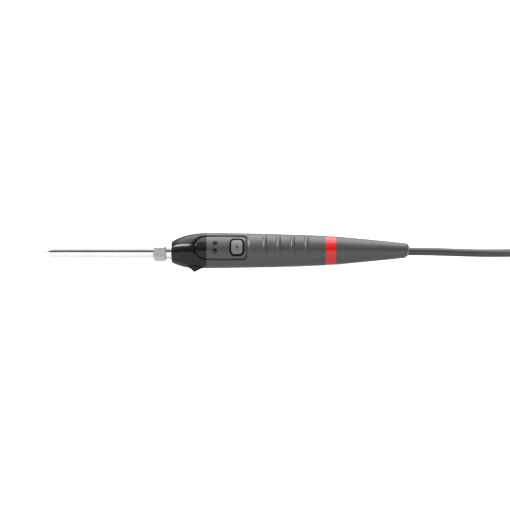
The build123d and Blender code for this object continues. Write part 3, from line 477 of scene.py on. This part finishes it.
def hank_station(station, half, radius, leg):
    """Point of one turn of the hank, from its middle. radius is that of its folds."""
    centre = half - radius
    corner = radius / math.cos(math.pi / 8)
    shoulder = centre - math.tan(math.pi / 8) * radius
    folds = {0: 202.5, 1: 247.5, 6: -67.5, 7: -22.5, 8: 22.5, 9: 67.5, 14: 112.5, 15: 157.5}
    if station in folds:
        angle = math.radians(folds[station])
        side = 1 if 6 <= station <= 9 else -1
        return side * centre + corner * math.cos(angle), corner * math.sin(angle)
    legs = {2: (-1, -1), 5: (1, -1), 10: (1, 1), 13: (-1, 1)}
    if station in legs:
        end, side = legs[station]
        return end * shoulder * SHOULDER_SHARE, side * (radius * LEG_PULL - LEG_EASE)
    grips = {3: (-1, -1), 4: (1, -1), 11: (1, 1), 12: (-1, 1)}
    end, side = grips[station]
    return end * TIE_GRIP, side * leg


def hank_points(cord):
    """Points of the hank's turns, from where the cord comes in to where it leaves for the plug."""
    low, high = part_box("cord_hank")
    middle = (low + high) / 2
    points = []
    for number in range(HANK_FIRST, HANK_LAST + 1):
        turn, station = divmod(number, STATIONS)
        column = stepped(HANK_COLUMNS, number)
        layer = stepped(HANK_LAYERS, number)
        inset = cord.diameter * ROOM * (0.5 + 1 - column)
        radius = (high.y - low.y) / 2 - inset
        leg = cord.diameter * LEG_ROOM * (0.5 + column)
        loose = LOOSENESS * (math.sin(2.3 * turn + 0.7) - 1)
        half = (high.x - low.x) / 2 - inset + loose
        x, y = hank_station(station, half, radius, leg)
        lift = cord.tie_thickness if abs(x) <= TIE_GRIP else 0.0
        z = cord.diameter * ROOM / 2 + layer * cord.layer_pitch + lift
        points.append((middle.x + x, middle.y + y, z))
    return points


def cord_points(cord):
    """All the points that the cord follows, from the tail's bush to the plug's relief."""
    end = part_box("cord_hank")[1].x
    lead = [(end + x, y, z) for x, y, z in PLUG_ROUTE]
    return [CORD_START, *CORD_ROUTE, *hank_points(cord), *lead]


def round_curve(name, points, diameter):
    """Curve object with a round section that follows one smooth spline."""
    curve = bpy.data.curves.new(name, "CURVE")
    curve.dimensions = "3D"
    curve.bevel_depth = diameter / 2
    curve.bevel_resolution = 6
    curve.resolution_u = 10
    curve.use_fill_caps = True
    spline = curve.splines.new("NURBS")
    spline.points.add(len(points) - 1)
    for point, place in zip(spline.points, points):
        point.co = (*place, 1.0)
    spline.order_u = 3
    spline.use_endpoint_u = True
    thing = bpy.data.objects.new(name, curve)
    bpy.context.scene.collection.objects.link(thing)
    return thing


def mesh_object(name, work):
    """Object made from a bmesh, with smooth faces."""
    for face in work.faces:
        face.smooth = True
    data = bpy.data.meshes.new(name)
    work.to_mesh(data)
    work.free()
    thing = bpy.data.objects.new(name, data)
    bpy.context.scene.collection.objects.link(thing)
    return thing


def band_path(half_width, low, high, corner, steps=6):
    """Points round a rounded rectangle in Y and Z, from the middle of its top."""
    centres = (
        (half_width - corner, high - corner, 90),
        (half_width - corner, low + corner, 0),
        (corner - half_width, low + corner, -90),
        (corner - half_width, high - corner, -180),
    )
    points = [(0.0, high)]
    for y, z, start in centres:
        for step in range(steps + 1):
            angle = math.radians(start - 90 * step / steps)
            points.append((y + corner * math.cos(angle), z + corner * math.sin(angle)))
    points.append((0.0, high))
    return points


# --- Operators --------------------------------------------------------------------------------


class IRON_OT_stage(Operator):
    """Makes the camera, floor, surroundings and lights"""

    bl_idname = "iron.stage"
    bl_label = "Stage"

    def execute(self, context):
        stage = context.scene.iron_stage
        self.make_camera(context, stage)
        self.make_floor()
        self.make_lights(context, stage)
        self.make_surroundings(context, stage)
        return {"FINISHED"}

    def make_camera(self, context, stage):
        """Camera level with the iron, turned so that the handle's line is level in the picture."""
        data = bpy.data.cameras.new("camera")
        data.sensor_width = 36.0
        data.lens = data.sensor_width * stage.camera_distance / stage.view_width
        camera = bpy.data.objects.new("camera", data)
        context.scene.collection.objects.link(camera)
        target = HANDLE_START + HANDLE_AXIS * VIEW_ALONG - Vector((0, 0, VIEW_BELOW))
        back = Vector((0, -math.cos(stage.camera_height), math.sin(stage.camera_height)))
        right = (HANDLE_AXIS - back * HANDLE_AXIS.dot(back)).normalized()
        turn = Matrix((right, back.cross(right), back)).transposed()
        camera.matrix_world = Matrix.Translation(target + back * stage.camera_distance) @ turn.to_4x4()
        context.scene.camera = camera

    def make_floor(self):
        """Wide pale floor under everything."""
        work = bmesh.new()
        bmesh.ops.create_grid(work, x_segments=8, y_segments=8, size=FLOOR_HALF_WIDTH)
        floor = mesh_object("floor", work)
        finish = Finish("floor_paper")
        fine = finish.noise(0.0006, detail=2.0)
        broad = finish.noise(0.4, detail=2.0)
        finish.surface(
            Base_Color=mixed(finish, broad, (0.34, 0.34, 0.34), (0.36, 0.36, 0.36)),
            Roughness=0.9,
            Normal=finish.bump(fine, 0.00002),
            Emission_Color=(1.0, 1.0, 1.0),
            Emission_Strength=0.85,
        )
        floor.data.materials.append(finish.material)

    def make_lights(self, context, stage):
        """Wide soft light above and a narrow strip in front."""
        data = bpy.data.lights.new("light_overhead", "SUN")
        data.energy = stage.overhead_strength
        data.angle = stage.overhead_spread
        overhead = bpy.data.objects.new("light_overhead", data)
        overhead.rotation_euler = (OVERHEAD_LEAN, 0, 0)
        context.scene.collection.objects.link(overhead)
        self.panel("light_key", KEY_PLACE, KEY_TARGET, KEY_SIZE, stage.key_power)

    def panel(self, name, place, target, size, power):
        """Area light at a place that faces the target."""
        data = bpy.data.lights.new(name, "AREA")
        data.shape = "RECTANGLE"
        data.size, data.size_y = size
        data.energy = power
        light = bpy.data.objects.new(name, data)
        light.location = place
        light.rotation_euler = (Vector(target) - Vector(place)).to_track_quat("-Z", "Y").to_euler()
        bpy.context.scene.collection.objects.link(light)

    def make_surroundings(self, context, stage):
        """Pale room, darker low down in front, and seen as plain white."""
        room = Room("surroundings")
        direction = room.add("ShaderNodeTexCoord", output="Generated")
        split = room.add("ShaderNodeSeparateXYZ", sockets={"Vector": direction})
        front = (0.0 - split.other("Y")).greater(0.0)
        level = 1.0 - (abs(split.other("Z") - stage.dark_band_height) / stage.dark_band_width).lesser(1.0)
        band = (front * level * 2.0).lesser(1.0)
        seen = room.add("ShaderNodeLightPath", output="Is Camera Ray")
        lit = stage.surroundings - band * (stage.surroundings - stage.dark_band)
        strength = lit * (1.0 - seen) + seen * SEEN_BRIGHTNESS
        room.feed(room.shader.inputs["Color"], (1.0, 1.0, 1.0))
        room.feed(room.shader.inputs["Strength"], strength)
        context.scene.world = room.world
        context.scene.view_settings.view_transform = "Standard"


class IRON_OT_cord(Operator):
    """Lays the mains cord from the tail to its hank and on to the plug"""

    bl_idname = "iron.cord"
    bl_label = "Cord"

    def execute(self, context):
        cord = context.scene.iron_cord
        lead = round_curve("mains_lead", cord_points(cord), cord.diameter)
        lead.data.materials.append(self.sheath(cord).material)
        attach(lead, "handle")
        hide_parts("mains_cord", "cord_hank", "plug_lead")
        return {"FINISHED"}

    def sheath(self, cord):
        """Extruded sheath: soft sheen, fine drag marks and a little dust."""
        finish = Finish("cord_sheath")
        fine = finish.noise(0.0005, detail=3.0)
        broad = finish.noise(0.02, detail=3.0)
        low, high = shade(cord.sheath_colour, 0.85), shade(cord.sheath_colour, 1.25)
        finish.surface(
            Base_Color=mixed(finish, broad, low, high),
            Roughness=0.42 + (broad - 0.5) * 0.12 + (fine - 0.5) * 0.08,
            Normal=finish.bump(fine, 0.000012),
        )
        return finish


class IRON_OT_tie(Operator):
    """Wraps the woven tie round the hank"""

    bl_idname = "iron.tie"
    bl_label = "Cord tie"

    def execute(self, context):
        cord = context.scene.iron_cord
        low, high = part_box("cord_tie")
        thick = cord.tie_thickness
        half = (high.y - low.y) / 2 - thick / 2
        middle = (low + high) / 2
        path = band_path(half, low.z + thick / 2, high.z - thick / 2, TIE_CORNER)
        tail = [(y, z + thick) for y, z in band_path(half, 0, high.z - thick / 2, TIE_CORNER)[:3]]
        path = path + tail
        work = bmesh.new()
        mesh_layer = work.loops.layers.uv.new("weave")
        width = high.x - low.x
        rows = []
        length = 0.0
        lengths = []
        last = None
        for y, z in path:
            if last is not None:
                length += math.hypot(y - last[0], z - last[1])
            last = (y, z)
            lengths.append(length)
            rows.append([
                work.verts.new((middle.x + width * (step / 8 - 0.5), middle.y + y, z)) for step in range(9)
            ])
        for row in range(len(rows) - 1):
            for step in range(8):
                here, after = rows[row], rows[row + 1]
                corners = (here[step], here[step + 1], after[step + 1], after[step])
                face = work.faces.new(corners)
                places = (
                    (width * step / 8, lengths[row]),
                    (width * (step + 1) / 8, lengths[row]),
                    (width * (step + 1) / 8, lengths[row + 1]),
                    (width * step / 8, lengths[row + 1]),
                )
                for loop, place in zip(face.loops, places):
                    loop[mesh_layer].uv = place
        tie = mesh_object("hank_tie", work)
        body = tie.modifiers.new("thickness", "SOLIDIFY")
        body.thickness = thick
        body.offset = 0.0
        edge = tie.modifiers.new("edge", "BEVEL")
        edge.width = 0.0003
        edge.segments = 2
        tie.data.materials.append(self.weave(cord).material)
        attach(tie, "handle")
        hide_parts("cord_tie")
        return {"FINISHED"}

    def weave(self, cord):
        """Plain weave of thick yarns with a fuzzy sheen; its colour is painted shade in the hollows between
        the yarns and a painted highlight on their crowns.
        """
        finish = Finish("tie_weave")
        uv = finish.add("ShaderNodeUVMap", {"uv_map": "weave"})
        across = finish.add("ShaderNodeSeparateXYZ", sockets={"Vector": uv})
        up = across.other("Y")
        warp = (across * (2 * math.pi / WARP_PITCH)).sine()
        weft = (up * (2 * math.pi / WEFT_PITCH)).sine()
        yarn = warp * weft * 0.5 + 0.5
        fuzz = finish.noise(0.0003, detail=3.0)
        finish.surface(
            # Colour follows the weave's height: darker in its hollows as painted shade, lighter on the yarn
            # crowns as a painted highlight.
            Base_Color=mixed(finish, yarn, shade(cord.tie_colour, 0.55), shade(cord.tie_colour, 1.4)),
            Roughness=0.85,
            Sheen_Weight=0.4,
            Normal=finish.bump(yarn + fuzz * 0.4, 0.00018),
        )
        return finish


class IRON_OT_handle(Operator):
    """Finishes the shells, nose, marker ring, bush and screws"""

    bl_idname = "iron.handle"
    bl_label = "Handle"

    def execute(self, context):
        handle = context.scene.iron_handle
        shells = moulded(
            "shell_plastic", handle.plastic_colour, handle.plastic_roughness,
            handle.grain_size, handle.grain_depth, groove=True,
        )
        wear(("handle_front_shell", "handle_back_shell"), shells)
        wear(("nose_cap",), self.gloss(handle))
        wear(("marker_ring",), self.ring(handle))
        wear(("cord_bush",), moulded("bush_rubber", (0.16, 0.16, 0.165), 0.5, 0.0003))
        wear(("shell_screws", "clamp_screws"), turned_metal("screw_zinc", (0.62, 0.62, 0.60), 0.35))
        return {"FINISHED"}

    def gloss(self, handle):
        """High-gloss black: faint waviness and hairline scratches."""
        finish = Finish("nose_gloss")
        wave = finish.noise(0.004, detail=1.0)
        hairs = finish.noise(1.0, detail=2.0, vector=finish.stretched((300, 4000, 4000)))
        finish.surface(
            Base_Color=mixed(finish, wave, handle.nose_colour, shade(handle.nose_colour, 1.6)),
            Roughness=0.15 + (hairs - 0.5) * 0.06,
            Normal=finish.bump(wave * 0.00001 + panel_groove(finish), 1.0),
            Specular_IOR_Level=0.17,
        )
        return finish

    def ring(self, handle):
        """Glossy red plastic, deeper in colour where mottled."""
        finish = Finish("ring_red")
        wave = finish.noise(0.003, detail=2.0)
        finish.surface(
            Base_Color=mixed(finish, wave, shade(handle.ring_colour, 0.85), shade(handle.ring_colour, 1.15)),
            Roughness=0.22 + (wave - 0.5) * 0.08,
            Normal=finish.bump(wave, 0.00001),
            Coat_Weight=0.1,
            Coat_Roughness=0.08,
            Specular_IOR_Level=0.35,
        )
        return finish


class IRON_OT_controls(Operator):
    """Finishes the button, its frame and the lenses, and adds the mark on the button"""

    bl_idname = "iron.controls"
    bl_label = "Button and lenses"

    def execute(self, context):
        handle = context.scene.iron_handle
        black = moulded("frame_black", (0.0025, 0.0025, 0.0028), 0.5, 0.0005, 0.000006, specular=0.06)
        wear(("button_frame",), black)
        wear(("power_button",), moulded("button_grey", handle.button_colour, 0.45, 0.0002, 0.00001))
        wear(("status_lens_upper", "status_lens_lower"), self.smoked_lens())
        self.make_mark()
        return {"FINISHED"}

    def smoked_lens(self):
        """Dark tinted lens over its lamp."""
        finish = Finish("lens_smoke")
        cloud = finish.noise(0.0012, detail=2.0)
        finish.surface(
            Base_Color=mixed(finish, cloud, (0.003, 0.003, 0.0035), (0.007, 0.007, 0.008)),
            Roughness=0.08 + cloud * 0.05,
            Coat_Weight=0.1,
            Coat_Roughness=0.03,
            Specular_IOR_Level=0.2,
        )
        return finish

    def make_mark(self):
        """Small plain bolt printed on the button."""
        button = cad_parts["power_button"]
        low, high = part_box("power_button")
        face = max(vertex.co.dot(PANEL_FACE) for vertex in button.data.vertices)
        middle = (low + high) / 2
        middle = middle + PANEL_FACE * (face - middle.dot(PANEL_FACE))
        outline = ((0.7, 2.1), (-1.25, -0.3), (-0.1, -0.3), (-0.7, -2.1), (1.25, 0.35), (0.1, 0.35))
        work = bmesh.new()
        rings = []
        for lift in (-0.00002, 0.00003):
            rings.append([
                work.verts.new(middle + HANDLE_AXIS * (x * MM) + PANEL_UP * (y * MM) + PANEL_FACE * lift)
                for x, y in outline
            ])
        work.faces.new(rings[1])
        work.faces.new(reversed(rings[0]))
        count = len(outline)
        for index in range(count):
            after = (index + 1) % count
            work.faces.new((rings[0][index], rings[0][after], rings[1][after], rings[1][index]))
        bmesh.ops.recalc_face_normals(work, faces=work.faces)
        mark = mesh_object("button_mark", work)
        for polygon in mark.data.polygons:
            polygon.use_smooth = False
        mark.data.materials.append(moulded("mark_ink", (0.006, 0.006, 0.007), 0.5, 0.0002).material)
        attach(mark, "button")


class IRON_OT_hot_end(Operator):
    """Finishes the tip, barrel, nut and the socket behind them"""

    bl_idname = "iron.hot_end"
    bl_label = "Tip and barrel"

    def execute(self, context):
        metal = context.scene.iron_metal
        steel = turned_metal("barrel_steel", metal.steel_colour, metal.steel_roughness, metal.ring_pitch)
        wear(("tip_barrel",), steel)
        neck = turned_metal("neck_steel", metal.steel_colour, 0.16, 0.0003)
        wear(("heater_socket", "socket_lock_nut"), neck)
        wear(("barrel_nut",), turned_metal("nut_steel", metal.nut_colour, 0.42, 0.0003))
        wear(("soldering_tip",), self.tinned_tip())
        wear(("heater_rod",), moulded("heater_ceramic", (0.72, 0.70, 0.66), 0.6, 0.0002))
        wear(("heater_plug",), moulded("plug_ceramic", (0.70, 0.68, 0.62), 0.6, 0.0002))
        wear(("heater_leads",), turned_metal("lead_wire", (0.70, 0.69, 0.66), 0.3))
        return {"FINISHED"}

    def tinned_tip(self):
        """Iron-plated cone, brighter where it is tinned at the point."""
        finish = Finish("tip_plating")
        low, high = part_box("soldering_tip")
        along = finish.along_handle()
        start = (low - HANDLE_START).dot(HANDLE_AXIS)
        tinned = ((start + 0.009 - along) / 0.003).bounded()
        fine = finish.noise(0.0007, detail=4.0)
        rings = finish.noise(1.0, detail=3.0, vector=finish.stretched((5000, 2, 2)))
        finish.surface(
            Base_Color=mixed(finish, tinned, (0.62, 0.61, 0.60), (0.80, 0.80, 0.80)),
            Metallic=1.0,
            Roughness=0.32 - tinned * 0.10 + (fine - 0.5) * 0.16,
            Normal=finish.bump(rings + fine * tinned, 0.000006),
        )
        return finish


class IRON_OT_inside(Operator):
    """Finishes the parts inside the handle"""

    bl_idname = "iron.inside"
    bl_label = "Inside"

    def execute(self, context):
        wear(("circuit_board",), self.board())
        black = moulded("component_black", (0.02, 0.02, 0.02), 0.5, 0.0002)
        wear(("tact_switch", "triac", "control_chip"), black)
        wear(("switch_plunger",), moulded("plunger_white", (0.62, 0.62, 0.60), 0.45, 0.0002))
        clear = moulded("led_clear", (0.75, 0.75, 0.72), 0.12, 0.0006, 0.000004, 0.05, 0.5)
        wear(("indicator_leds",), clear)
        wear(("line_capacitor",), moulded("capacitor_yellow", (0.62, 0.40, 0.05), 0.35, 0.0005, 0.00001))
        wear(("resistors",), self.banded())
        wear(("terminal_block",), moulded("terminal_green", (0.03, 0.22, 0.09), 0.42, 0.0004))
        wear(("mains_cores",), moulded("core_insulation", (0.10, 0.12, 0.30), 0.4, 0.0004))
        wear(("cord_inner_end",), moulded("cord_inner", (0.022, 0.022, 0.024), 0.45, 0.0005))
        wear(("cord_clamp",), moulded("clamp_nylon", (0.30, 0.30, 0.29), 0.5, 0.0003))
        return {"FINISHED"}

    def board(self):
        """Green solder mask with lighter copper tracks under it."""
        finish = Finish("board_green")
        tracks = finish.add(
            "ShaderNodeTexBrick",
            {"offset": 0.5},
            {"Vector": finish.handle_place(), "Scale": 180.0, "Mortar Size": 0.09},
            output="Fac",
        )
        fine = finish.noise(0.0006)
        finish.surface(
            Base_Color=mixed(finish, tracks, (0.010, 0.105, 0.035), (0.03, 0.20, 0.07)),
            Roughness=0.32 + (fine - 0.5) * 0.1,
            Normal=finish.bump(tracks, 0.00002),
        )
        return finish

    def banded(self):
        """Tan resistor bodies with coloured bands."""
        finish = Finish("resistor_tan")
        along = finish.along_handle()
        wave = (along * (2 * math.pi / 0.0016)).sine()
        band = ((abs(wave) - 0.75) * 12).bounded()
        finish.surface(
            Base_Color=mixed(finish, band, (0.55, 0.42, 0.25), (0.22, 0.03, 0.02)),
            Roughness=0.4,
            Normal=finish.bump(finish.noise(0.0004), 0.00001),
        )
        return finish


class IRON_OT_plug(Operator):
    bl_idname = "iron.plug"
    bl_label = "Plug"

    def execute(self, context):
        cord = context.scene.iron_cord
        wear(("plug_body", "plug_relief"), moulded("plug_pvc", cord.plug_colour, 0.38, 0.0006, 0.00003))
        wear(("plug_pins",), turned_metal("pin_nickel", (0.72, 0.70, 0.66), 0.2, 0.0003))
        return {"FINISHED"}


class IRON_PT_pieces(Panel):
    """Lists the pieces in the sidebar."""

    bl_label = "Soldering Iron"
    bl_idname = "IRON_PT_pieces"
    bl_space_type = "VIEW_3D"
    bl_region_type = "UI"
    bl_category = "Iron"

    def draw(self, context):
        for operator in PIECES:
            self.layout.operator(operator.bl_idname)


PIECES = (
    IRON_OT_stage,
    IRON_OT_cord,
    IRON_OT_tie,
    IRON_OT_handle,
    IRON_OT_controls,
    IRON_OT_hot_end,
    IRON_OT_inside,
    IRON_OT_plug,
)
SETTINGS = {
    "iron_handle": IronHandleSettings,
    "iron_metal": IronMetalSettings,
    "iron_cord": IronCordSettings,
    "iron_stage": IronStageSettings,
}


def register():
    for settings in SETTINGS.values():
        bpy.utils.register_class(settings)
    for name, settings in SETTINGS.items():
        setattr(bpy.types.Scene, name, PointerProperty(type=settings))
    for operator in PIECES:
        bpy.utils.register_class(operator)
    bpy.utils.register_class(IRON_PT_pieces)


def unregister():
    bpy.utils.unregister_class(IRON_PT_pieces)
    for operator in reversed(PIECES):
        bpy.utils.unregister_class(operator)
    for name in SETTINGS:
        delattr(bpy.types.Scene, name)
    for settings in SETTINGS.values():
        bpy.utils.unregister_class(settings)


def main():
    register()
    for operator in PIECES:
        group, action = operator.bl_idname.split(".")
        getattr(getattr(bpy.ops, group), action)()


if __name__ == "__main__":
    main()
